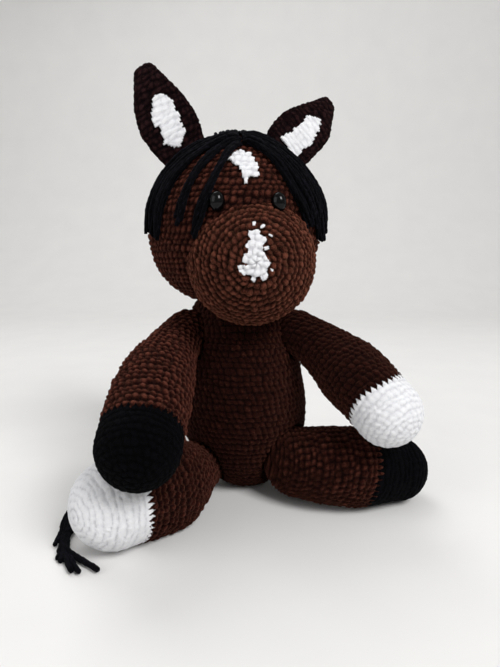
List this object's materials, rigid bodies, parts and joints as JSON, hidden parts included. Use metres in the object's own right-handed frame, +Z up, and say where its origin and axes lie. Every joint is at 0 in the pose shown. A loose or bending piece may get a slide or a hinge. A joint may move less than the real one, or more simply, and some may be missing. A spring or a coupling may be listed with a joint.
{
  "type": "plush horse",
  "caption": "Sitting crocheted plush horse with ball-seated stuffed limbs, a turning and nodding head, bending ears, yarn mane and tail, and domed safety eyes.",
  "frame": {"origin": "on the floor, under the middle of the body, in the middle of the flat round it sits on", "axes": "+Z up, -Y the way the body faces, +X towards the horse's left side"},
  "size_m": [0.2499, 0.2016, 0.2982],
  "materials": {
    "brown_chenille": "matt, thick chenille yarn in single crochet",
    "light_brown_chenille": "matt, thick chenille yarn in single crochet",
    "black_chenille": "matt, thick chenille yarn in single crochet",
    "white_chenille": "matt, thick chenille yarn in single crochet",
    "black_yarn": "matt, loose chenille strands",
    "seam_yarn": "matt, thin twisted yarn",
    "fibre_fill": "matt, loose polyester fibre",
    "eye_plastic": "polished",
    "washer_plastic": "moulded"
  },
  "bodies": {
    "torso": {"body_cover": "brown_chenille", "body_stuffing": "fibre_fill", "arm_joint_yarn": "black_yarn", "leg_joint_yarn": "black_yarn"},
    "neck": {"neck_seam_yarn": "seam_yarn"},
    "head": {"head_cover": "brown_chenille", "head_stuffing": "fibre_fill", "muzzle_cover": "light_brown_chenille", "muzzle_stuffing": "fibre_fill", "forehead_star": "white_chenille", "muzzle_snip": "white_chenille", "right_eye": "eye_plastic", "left_eye": "eye_plastic", "right_eye_washer": "washer_plastic", "left_eye_washer": "washer_plastic", "mane_right_front": "black_yarn", "mane_right_middle": "black_yarn", "mane_right_side": "black_yarn", "mane_left_front": "black_yarn", "mane_left_side": "black_yarn", "mane_crown": "black_yarn", "mane_nape": "black_yarn"},
    "right_ear": {"right_ear": "brown_chenille", "right_ear_lining": "white_chenille"},
    "left_ear": {"left_ear": "brown_chenille", "left_ear_lining": "white_chenille"},
    "right_arm": {"right_arm_cover": "brown_chenille", "right_arm_hoof": "black_chenille", "right_arm_stuffing": "fibre_fill"},
    "left_arm": {"left_arm_cover": "brown_chenille", "left_arm_hoof": "white_chenille", "left_arm_stuffing": "fibre_fill"},
    "right_leg": {"right_leg_cover": "brown_chenille", "right_leg_hoof": "white_chenille", "right_leg_stuffing": "fibre_fill"},
    "left_leg": {"left_leg_cover": "brown_chenille", "left_leg_hoof": "black_chenille", "left_leg_stuffing": "fibre_fill"},
    "tail": {"tail": "black_yarn"}
  },
  "joints": [
    {"name": "head_turn", "type": "hinge", "parent": "torso", "child": "neck", "pos_m": [-0.004, -0.003, 0.1], "axis": [0, 0, 1], "range_deg": [-20, 20]},
    {"name": "head_nod", "type": "hinge", "parent": "neck", "child": "head", "pos_m": [-0.004, -0.003, 0.1], "axis": [0.9848, 0.1736, 0], "range_deg": [-8, 4]},
    {"name": "right_shoulder", "type": "hinge", "parent": "torso", "child": "right_arm", "pos_m": [-0.041, -0.019, 0.1175], "axis": [-1, 0, 0], "range_deg": [0, 30]},
    {"name": "left_shoulder", "type": "hinge", "parent": "torso", "child": "left_arm", "pos_m": [0.036, -0.019, 0.1175], "axis": [-1, 0, 0], "range_deg": [0, 30]},
    {"name": "right_hip", "type": "hinge", "parent": "torso", "child": "right_leg", "pos_m": [-0.03738, -0.01335, 0.026], "axis": [1, 0, 0], "range_deg": [0, 40]},
    {"name": "left_hip", "type": "hinge", "parent": "torso", "child": "left_leg", "pos_m": [0.03515, -0.01335, 0.026], "axis": [1, 0, 0], "range_deg": [0, 40]},
    {"name": "right_ear_flex", "type": "hinge", "parent": "head", "child": "right_ear", "pos_m": [-0.04196, -0.01395, 0.24369], "axis": [0.8887, -0.031, 0.4574], "range_deg": [-18, 18], "stiffness_Nm_per_rad": 0.08},
    {"name": "left_ear_flex", "type": "hinge", "parent": "head", "child": "left_ear", "pos_m": [0.02657, -0.00288, 0.24289], "axis": [0.6234, 0.2519, -0.7402], "range_deg": [-18, 18], "stiffness_Nm_per_rad": 0.08},
    {"name": "tail_swing", "type": "hinge", "parent": "torso", "child": "tail", "pos_m": [0, 0.0348, 0.0128], "axis": [0, 0, -1], "range_deg": [0, 60]}
  ]
}
